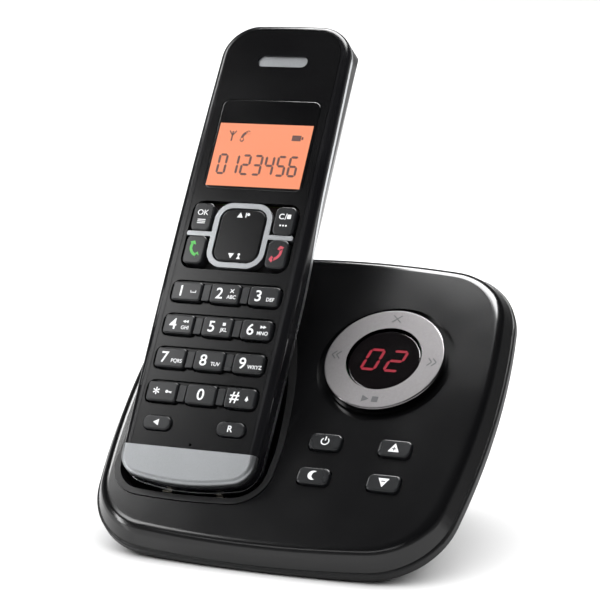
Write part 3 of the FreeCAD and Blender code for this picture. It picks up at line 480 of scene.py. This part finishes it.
def inked(seat, drawing, u, v, top, turn=0.0):
    mesh = curve_mesh("drawing", drawing.loops, INK)
    mesh.transform(seat.matrix(u, v, top + INK / 2 - SUNK, turn))
    return mesh


def lettered(seat, text, height, u, v, top, bold=0.0, stretch=1.0):
    mesh = text_mesh(text, height, bold, INK, stretch)
    mesh.transform(seat.matrix(u, v, top + INK / 2 - SUNK))
    return mesh


# ---------------------------------------------------------------- marks on the number keys

NUMBER_KEYS = {
    "key_1": ("1", ""), "key_2": ("2", "ABC"), "key_3": ("3", "DEF"),
    "key_4": ("4", "GHI"), "key_5": ("5", "JKL"), "key_6": ("6", "MNO"),
    "key_7": ("7", "PQRS"), "key_8": ("8", "TUV"), "key_9": ("9", "WXYZ"),
    "key_star": ("*", ""), "key_0": ("0", ""), "key_hash": ("#", ""),
}


def key_symbols():
    """The small function symbols beside some digits, drawn about their own middles."""
    message = Drawing().stroke((-0.9 * MM, 0.3 * MM), (-0.9 * MM, -0.35 * MM), 0.25 * MM)
    message.stroke((-1.0 * MM, -0.35 * MM), (1.0 * MM, -0.35 * MM), 0.25 * MM)
    message.stroke((0.9 * MM, -0.35 * MM), (0.9 * MM, 0.3 * MM), 0.25 * MM)
    cross = Drawing().stroke((-0.6 * MM, -0.6 * MM), (0.6 * MM, 0.6 * MM), 0.28 * MM)
    cross.stroke((-0.6 * MM, 0.6 * MM), (0.6 * MM, -0.6 * MM), 0.28 * MM)
    back = Drawing().triangle(-0.5 * MM, 0, 1.1 * MM, 1.0 * MM, math.pi / 2)
    back.triangle(0.5 * MM, 0, 1.1 * MM, 1.0 * MM, math.pi / 2)
    onward = Drawing().triangle(-0.5 * MM, 0, 1.1 * MM, 1.0 * MM, -math.pi / 2)
    onward.triangle(0.5 * MM, 0, 1.1 * MM, 1.0 * MM, -math.pi / 2)
    lock = Drawing().disc(-0.6 * MM, 0, 0.5 * MM).stroke((-0.2 * MM, 0), (1.1 * MM, 0), 0.28 * MM)
    lock.stroke((0.9 * MM, 0), (0.9 * MM, -0.5 * MM), 0.25 * MM)
    bell = Drawing().triangle(0, 0.05 * MM, 1.3 * MM, 1.4 * MM).disc(0, -0.85 * MM, 0.22 * MM, 12)
    halt = Drawing().box(0, 0, 1.0 * MM, 1.0 * MM)
    return {"key_1": message, "key_2": cross, "key_4": back, "key_5": halt, "key_6": onward,
            "key_star": lock, "key_hash": bell}


DIGIT_HEIGHT = 3.7 * MM
LETTER_HEIGHT = 1.25 * MM


def number_marks():
    """A digit at the left of each key, its letters at the lower right and its symbol above them."""
    symbols = key_symbols()
    for key, (digit, letters) in NUMBER_KEYS.items():
        u, v, top = HANDSET.middle(key)
        alone = not letters and key not in symbols
        left = u if alone else u - 1.9 * MM
        meshes = [lettered(HANDSET, digit, DIGIT_HEIGHT, left, v, top, bold=0.05 * MM)]
        if letters:
            meshes.append(lettered(HANDSET, letters, LETTER_HEIGHT, u + 2.5 * MM, v - 1.1 * MM, top,
                                   bold=0.02 * MM, stretch=0.92))
        if key in symbols:
            lift = 1.0 * MM if letters else 0
            meshes.append(inked(HANDSET, symbols[key], u + 2.4 * MM, v + lift, top))
        piece(f"{key}_print", meshes, key, "white")


# ---------------------------------------------------------------- bridges between the number keys

BRIDGE_CLEARANCE = 0.25 * MM
BRIDGE_HEIGHT = 5.6 * MM
BRIDGE_RISE = 0.55 * MM
BRIDGE_CORNER = 0.5 * MM
BRIDGE_EDGE = 0.16 * MM


def block_tree():
    """A node tree that stands a block with round corners on every point it is given."""
    tree = bpy.data.node_groups.new("round_blocks", "GeometryNodeTree")
    tree.interface.new_socket("Points", in_out="INPUT", socket_type="NodeSocketGeometry")
    for name in ("Width", "Height", "Rise", "Corner"):
        tree.interface.new_socket(name, in_out="INPUT", socket_type="NodeSocketFloat")
    tree.interface.new_socket("Finish", in_out="INPUT", socket_type="NodeSocketMaterial")
    tree.interface.new_socket("Blocks", in_out="OUTPUT", socket_type="NodeSocketGeometry")
    given = add(tree, "NodeGroupInput").outputs
    plan = add(tree, "GeometryNodeCurvePrimitiveQuadrilateral",
               links={"Width": given["Width"], "Height": given["Height"]})
    outline = add(tree, "GeometryNodeFilletCurve", mode="POLY", values={"Count": 5},
                  links={"Curve": plan.outputs["Curve"], "Radius": given["Corner"]})
    flat = add(tree, "GeometryNodeFillCurve", mode="NGONS", links={"Curve": outline.outputs["Curve"]})
    raised = add(tree, "GeometryNodeExtrudeMesh", values={"Individual": False},
                 links={"Mesh": flat.outputs["Mesh"], "Offset Scale": given["Rise"]})
    underside = add(tree, "GeometryNodeFlipFaces", links={"Mesh": flat.outputs["Mesh"]})
    shut = add(tree, "GeometryNodeJoinGeometry", links={"Geometry": raised.outputs["Mesh"]})
    tree.links.new(underside.outputs["Mesh"], shut.inputs["Geometry"])
    block = add(tree, "GeometryNodeMergeByDistance", links={"Geometry": shut.outputs["Geometry"]},
                values={"Distance": 0.001 * MM})
    stood = add(tree, "GeometryNodeInstanceOnPoints",
                links={"Points": given["Points"], "Instance": block.outputs["Geometry"]})
    real = add(tree, "GeometryNodeRealizeInstances", links={"Geometry": stood.outputs["Instances"]})
    dressed = add(tree, "GeometryNodeSetMaterial",
                  links={"Geometry": real.outputs["Geometry"], "Material": given["Finish"]})
    add(tree, "NodeGroupOutput", links={"Blocks": dressed.outputs["Geometry"]})
    return tree


def key_bridges():
    """The low bridges of the face panel between neighbouring number keys, clear of both keys."""
    keys = list(NUMBER_KEYS)
    spots = []
    for left, right in zip(keys, keys[1:]):
        left_end, right_end = HANDSET.extent(left)[1].x, HANDSET.extent(right)[0].x
        if right_end > left_end:
            gap = right_end - left_end
            middle = (HANDSET.middle(left)[1] + HANDSET.middle(right)[1]) / 2
            spots.append(((left_end + right_end) / 2, middle, 0))
    points = bpy.data.meshes.new("bridge_points")
    points.from_pydata(spots, [], [])
    holder = bpy.data.objects.new("bridge_points", points)
    bpy.context.scene.collection.objects.link(holder)
    blocks = holder.modifiers.new("blocks", "NODES")
    blocks.node_group = block_tree()
    sizes = {"Width": gap - 2 * BRIDGE_CLEARANCE, "Height": BRIDGE_HEIGHT, "Rise": BRIDGE_RISE,
             "Corner": BRIDGE_CORNER, "Finish": MATERIALS["keycap"]}
    for socket in blocks.node_group.interface.items_tree:
        if socket.name in sizes:
            blocks[socket.identifier] = sizes[socket.name]
    edge = holder.modifiers.new("edge", "BEVEL")
    edge.width = BRIDGE_EDGE
    edge.segments = 2
    mesh = bpy.data.meshes.new_from_object(holder.evaluated_get(bpy.context.evaluated_depsgraph_get()))
    bpy.data.objects.remove(holder)
    panel_top = HANDSET.extent("handset_faceplate")[1].z
    mesh.transform(HANDSET.matrix(0, 0, panel_top - SUNK))
    piece("key_bridges", [mesh], "handset", "keycap")


# ---------------------------------------------------------------- marks on the other handset keys

def telephone_receiver(tilt):
    """A receiver seen from the side: two blunt ends joined by a bent grip."""
    drawing = Drawing().arc(0, 1.9 * MM, 3.0 * MM, 0.9 * MM, 222, 318)
    drawing.box(-2.3 * MM, 0.2 * MM, 1.5 * MM, 1.5 * MM, 0.25)
    drawing.box(2.3 * MM, 0.2 * MM, 1.5 * MM, 1.5 * MM, -0.25)
    spin = Matrix.Rotation(math.radians(tilt), 2)
    drawing.loops = [[spin @ point for point in loop] for loop in drawing.loops]
    return drawing


def function_marks():
    """The signs of the soft keys, the call keys, the two foot keys and the navigation pad."""
    u, v, top = HANDSET.middle("key_menu")
    lines = Drawing()
    for row in (-1, 0, 1):
        lines.box(0, row * 0.62 * MM, 2.8 * MM, 0.28 * MM)
    piece("key_menu_print", [lettered(HANDSET, "OK", 1.9 * MM, u, v + 1.5 * MM, top),
                             inked(HANDSET, lines, u, v - 1.7 * MM, top)], "key_menu", "white")
    u, v, top = HANDSET.middle("key_clear")
    muted = Drawing().box(0.3 * MM, 0, 1.3 * MM, 1.5 * MM)
    muted.stroke((-1.0 * MM, -1.1 * MM), (-0.6 * MM, 1.1 * MM), 0.22 * MM)
    dots = Drawing()
    for column in (-1, 0, 1):
        dots.disc(column * 1.0 * MM, 0, 0.32 * MM, 12)
    piece("key_clear_print", [lettered(HANDSET, "C", 1.9 * MM, u - 1.2 * MM, v + 1.5 * MM, top, 0.03 * MM),
                              inked(HANDSET, muted, u + 1.1 * MM, v + 1.5 * MM, top),
                              inked(HANDSET, dots, u, v - 1.7 * MM, top)], "key_clear", "white")
    u, v, top = HANDSET.middle("key_call")
    piece("key_call_print", [inked(HANDSET, telephone_receiver(-64), u, v, top)], "key_call", "green")
    u, v, top = HANDSET.middle("key_end")
    hang_up = telephone_receiver(58)
    piece("key_end_print", [inked(HANDSET, hang_up, u, v, top)], "key_end", "crimson")
    u, v, top = HANDSET.middle("key_speaker")
    horn = Drawing().polygon([(-1.2 * MM, 0), (0.7 * MM, 1.1 * MM), (0.7 * MM, -1.1 * MM)])
    piece("key_speaker_print", [inked(HANDSET, horn, u, v, top)], "key_speaker", "white")
    u, v, top = HANDSET.middle("key_recall")
    recall = lettered(HANDSET, "R", 2.1 * MM, u, v, top, bold=0.03 * MM)
    piece("key_recall_print", [recall], "key_recall", "white")
    u, v, top = HANDSET.middle("nav_pad")
    arrows = Drawing().triangle(-1.4 * MM, 7.3 * MM, 2.0 * MM, 1.8 * MM)
    arrows.triangle(-1.4 * MM, -7.3 * MM, 2.0 * MM, 1.8 * MM, math.pi)
    arrows.stroke((0.7 * MM, 6.5 * MM), (0.7 * MM, 8.2 * MM), 0.3 * MM)
    arrows.disc(1.5 * MM, 7.6 * MM, 0.5 * MM, 14)
    arrows.disc(1.4 * MM, -6.7 * MM, 0.45 * MM, 14).triangle(1.4 * MM, -7.7 * MM, 1.4 * MM, 1.2 * MM)
    piece("nav_pad_print", [inked(HANDSET, arrows, u, v, top)], "nav_pad", "white")


# ---------------------------------------------------------------- number displays

SEGMENTS = {"0": "abcdef", "1": "bc", "2": "abged", "3": "abgcd", "4": "fgbc", "5": "afgcd", "6": "afgedc",
            "7": "abc", "8": "abcdefg", "9": "abcdfg"}


def segment_digit(drawing, digit, x, y, width, height, bar, slant):
    """One seven-segment digit with mitred bars, leaning by slant."""
    gap = bar * 0.12
    half_w, half_h = width / 2 - bar / 2, height / 4 - bar / 4
    level = height / 2 - bar / 2

    def bar_at(centre_x, centre_y, length, upright):
        reach = length / 2 - gap
        tip = bar / 2
        inset = reach - tip
        flat = [(-reach, 0), (-inset, -tip), (inset, -tip), (reach, 0), (inset, tip), (-inset, tip)]
        if upright:
            flat = [(-b, a) for a, b in flat]
        drawing.polygon([(x + centre_x + a + slant * (centre_y + b), y + centre_y + b) for a, b in flat])

    spots = {"a": (0, level, False), "d": (0, -level, False), "g": (0, 0, False),
             "f": (-half_w, half_h, True), "b": (half_w, half_h, True),
             "e": (-half_w, -half_h, True), "c": (half_w, -half_h, True)}
    for name in SEGMENTS[digit]:
        centre_x, centre_y, upright = spots[name]
        bar_at(centre_x, centre_y, level if upright else 2 * half_w, upright)


def counter_digits():
    """The red two-figure counter in the middle of the control ring."""
    u, v, top = PLATE.middle("led_window")
    drawing = Drawing()
    for digit, offset in (("0", -3.9 * MM), ("2", 3.9 * MM)):
        segment_digit(drawing, digit, offset, 0, width=5.4 * MM, height=8.8 * MM, bar=0.95 * MM, slant=0.2)
    piece("counter_digits", [inked(PLATE, drawing, u, v, top)], "base", "led")


def display_screen():
    """The lit display and its dark characters, laid on the window's face, which is itself opaque."""
    u, _, top = HANDSET.middle("display_lens")
    low, high = HANDSET.extent("lcd_module")
    v = (low.y + high.y) / 2
    width, height = (high.x - low.x), (high.y - low.y)
    screen = Drawing().box(0, 0, width, height)
    piece("lit_screen", [inked(HANDSET, screen, u, v, top)], "handset", "lcd")
    marks = Drawing()
    pitch = width * 0.126
    for place, digit in enumerate("0123456"):
        segment_digit(marks, digit, (place - 3) * pitch, -3.6 * MM,
                      width=3.4 * MM, height=7.6 * MM, bar=0.78 * MM, slant=0.0)
    marks.stroke((-11.5 * MM, 5.0 * MM), (-11.5 * MM, 8.6 * MM), 0.5 * MM)
    marks.stroke((-12.7 * MM, 8.7 * MM), (-11.5 * MM, 7.0 * MM), 0.4 * MM)
    marks.stroke((-10.3 * MM, 8.7 * MM), (-11.5 * MM, 7.0 * MM), 0.4 * MM)
    marks.arc(-5.6 * MM, 6.2 * MM, 2.2 * MM, 0.9 * MM, 105, 205, 12)
    marks.disc(-5.9 * MM, 8.2 * MM, 0.75 * MM, 14).disc(-7.7 * MM, 5.5 * MM, 0.75 * MM, 14)
    marks.box(11.7 * MM, 6.8 * MM, 3.2 * MM, 2.0 * MM).box(13.8 * MM, 6.8 * MM, 0.6 * MM, 1.0 * MM)
    piece("screen_marks", [inked(HANDSET, marks, u, v, top + INK)], "handset", "segment")


# ---------------------------------------------------------------- marks on the base

def base_marks():
    """The signs of the four base buttons and of the control ring."""
    u, v, top = PLATE.middle("button_power")
    power = Drawing().arc(0, 0, 1.25 * MM, 0.35 * MM, 125, 415)
    power.stroke((0, 0.3 * MM), (0, 1.8 * MM), 0.35 * MM)
    piece("button_power_print", [inked(PLATE, power, u, v, top)], "button_power", "white")
    u, v, top = PLATE.middle("button_up")
    up = Drawing().triangle(0, 0.1 * MM, 3.6 * MM, 3.2 * MM)
    plus = Drawing().box(0, -0.4 * MM, 1.3 * MM, 0.35 * MM).box(0, -0.4 * MM, 0.35 * MM, 1.3 * MM)
    piece("button_up_print", [inked(PLATE, up, u, v, top)], "button_up", "white")
    piece("button_up_sign", [inked(PLATE, plus, u, v, top + INK)], "button_up", "dark")
    u, v, top = PLATE.middle("button_down")
    down = Drawing().triangle(0, -0.1 * MM, 3.6 * MM, 3.2 * MM, math.pi)
    minus = Drawing().box(0, 0.4 * MM, 1.3 * MM, 0.35 * MM)
    piece("button_down_print", [inked(PLATE, down, u, v, top)], "button_down", "white")
    piece("button_down_sign", [inked(PLATE, minus, u, v, top + INK)], "button_down", "dark")
    u, v, top = PLATE.middle("button_night")
    piece("button_night_print", [inked(PLATE, crescent(1.7 * MM), u, v, top)], "button_night", "white")
    ring_marks()


def crescent(radius):
    """A moon: a half circle and a flatter arc back."""
    angles = [math.radians(60 + 240 * step / 24) for step in range(25)]
    outer = [(radius * math.cos(a), radius * math.sin(a)) for a in angles]
    bite = Vector((radius * 0.62, 0))
    reach = (Vector(outer[0]) - bite).length
    turn = math.atan2(outer[0][1], outer[0][0] - bite.x)
    inner = [(bite.x + reach * math.cos(a), reach * math.sin(a))
             for a in (2 * math.pi - turn + (2 * turn - 2 * math.pi) * s / 24 for s in range(1, 24))]
    return Drawing().polygon(outer + inner)


def ring_marks():
    """The four signs around the control ring, as shallow dark engravings."""
    u, v, top = PLATE.middle("control_ring")
    radius = 16.2 * MM
    line = 0.4 * MM
    cross = Drawing().stroke((-1.5 * MM, -1.4 * MM), (1.5 * MM, 1.4 * MM), line)
    cross.stroke((-1.5 * MM, 1.4 * MM), (1.5 * MM, -1.4 * MM), line)
    meshes = [inked(PLATE, cross, u, v + radius, top)]
    for way in (-1, 1):
        chevrons = Drawing()
        for step in (-0.75 * MM, 0.75 * MM):
            for side in (-1, 1):
                chevrons.stroke((step - way * 0.7 * MM, side * 1.5 * MM), (step + way * 0.7 * MM, 0), line)
        meshes.append(inked(PLATE, chevrons, u + way * radius, v, top))
    play = Drawing().triangle(-1.5 * MM, 0, 2.6 * MM, 2.4 * MM, -math.pi / 2)
    play.box(1.7 * MM, 0, 2.1 * MM, 2.1 * MM)
    meshes.append(inked(PLATE, play, u, v - radius, top))
    piece("control_ring_engraving", meshes, "control_ring", "dark")


# ---------------------------------------------------------------- studio

def pale_floor():
    """A smooth white table that keeps a faint, soft reflection of what stands on it."""
    material = bpy.data.materials.new("pale_floor")
    material.use_nodes = True
    tree = material.node_tree
    tree.nodes.clear()
    place = add(tree, "ShaderNodeTexCoord")
    sheen = add(tree, "ShaderNodeTexNoise", links={"Vector": place.outputs["Object"]},
                values={"Scale": 6.0})
    level = add(tree, "ShaderNodeMapRange", links={"Value": sheen.outputs["Fac"]},
                values={"To Min": 0.14, "To Max": 0.18})
    chalk = add(tree, "ShaderNodeBsdfDiffuse", values={"Color": linear("#f6f6f6")})
    gloss = add(tree, "ShaderNodeBsdfGlossy", links={"Roughness": level.outputs["Result"]})
    both = add(tree, "ShaderNodeMixShader", links={1: chalk.outputs["BSDF"], 2: gloss.outputs["BSDF"]},
               values={"Fac": 0.14})
    add(tree, "ShaderNodeOutputMaterial", links={"Surface": both.outputs["Shader"]})
    bpy.ops.mesh.primitive_plane_add(size=12)
    floor = bpy.context.object
    floor.name = "floor"
    floor.data.materials.append(material)


def area_light(name, spot, aim, size, power, glossy=True, diffuse=True):
    data = bpy.data.lights.new(name, "AREA")
    data.shape = "RECTANGLE"
    data.size, data.size_y = size
    data.energy = power
    lamp = bpy.data.objects.new(name, data)
    bpy.context.scene.collection.objects.link(lamp)
    lamp.location = spot
    lamp.rotation_euler = (Vector(aim) - Vector(spot)).to_track_quat("-Z", "Y").to_euler()
    lamp.visible_glossy = glossy
    lamp.visible_diffuse = diffuse


def studio_sky():
    """White below the horizon and dimming to dark overhead, so that black plastic keeps its depth."""
    world = bpy.data.worlds.new("studio")
    bpy.context.scene.world = world
    world.use_nodes = True
    tree = world.node_tree
    tree.nodes.clear()
    place = add(tree, "ShaderNodeTexCoord")
    split = add(tree, "ShaderNodeSeparateXYZ", links={"Vector": place.outputs["Generated"]})
    height = add(tree, "ShaderNodeMapRange", links={"Value": split.outputs["Z"]}, values={"From Min": -1.0})
    fade = add(tree, "ShaderNodeValToRGB", links={"Fac": height.outputs["Result"]})
    ramp = fade.color_ramp
    ramp.elements[0].position, ramp.elements[0].color = 0.49, (1, 1, 1, 1)
    ramp.elements[1].position, ramp.elements[1].color = 0.72, (0.02, 0.02, 0.02, 1)
    ramp.elements.new(0.51).color = (0.45, 0.45, 0.45, 1)
    glow = add(tree, "ShaderNodeBackground", links={"Color": fade.outputs["Color"]})
    add(tree, "ShaderNodeOutputWorld", links={"Surface": glow.outputs["Background"]})


CAMERA_TURN = math.radians(23.08)
CAMERA_RISE = math.radians(9.48)
CAMERA_DISTANCE = 710.7 * MM
FOCAL_LENGTH = 132
SENSOR_WIDTH = 36
LOOK_AT = Vector((-6.4 * MM, 0.0, 75.5 * MM))


def camera():
    """Looks down a little from the front and the right, without roll."""
    data = bpy.data.cameras.new("camera")
    data.lens = FOCAL_LENGTH
    data.sensor_width = SENSOR_WIDTH
    lens = bpy.data.objects.new("camera", data)
    bpy.context.scene.collection.objects.link(lens)
    level = math.cos(CAMERA_RISE)
    back = Vector((math.sin(CAMERA_TURN) * level, -math.cos(CAMERA_TURN) * level, math.sin(CAMERA_RISE)))
    lens.location = LOOK_AT + back * CAMERA_DISTANCE
    lens.rotation_euler = (-back).to_track_quat("-Z", "Y").to_euler()
    bpy.context.scene.camera = lens


# name, place, aim, size and power: these show in reflections only, so they shape the black plastic's gloss
REFLECTED_LIGHTS = [
    ("back_strip", (0.0, 0.150, 0.42), (0.0, 0.12, 0), (0.30, 0.22), 5.2),
    ("left_panel", (-0.32, -0.26, 0.4), (-0.12, -0.08, 0.05), (0.12, 0.16), 0.7),
    ("left_rear_panel", (-0.31, -0.04, 0.4), (-0.12, -0.06, 0.05), (0.1, 0.1), 0.8),
    ("low_left_strip", (-0.6, -0.4, 0.10), (0, 0, 0.05), (0.10, 0.4), 2.2),
    ("front_strip", (-0.1, -0.9, 0.5), (0, 0, 0.08), (0.9, 0.06), 1.0),
]


def studio():
    """The floor, the sky, a wide soft light overhead that no gloss shows, and the reflected lights."""
    pale_floor()
    studio_sky()
    area_light("overhead", (0, 0, 3.0), (0, 0, 0), (12.0, 12.0), 1020, glossy=False)
    for light in REFLECTED_LIGHTS:
        area_light(*light, diffuse=False)
    bpy.context.scene.view_settings.view_transform = "Standard"
    camera()


finish_nodes()
number_marks()
key_bridges()
function_marks()
counter_digits()
display_screen()
base_marks()
studio()
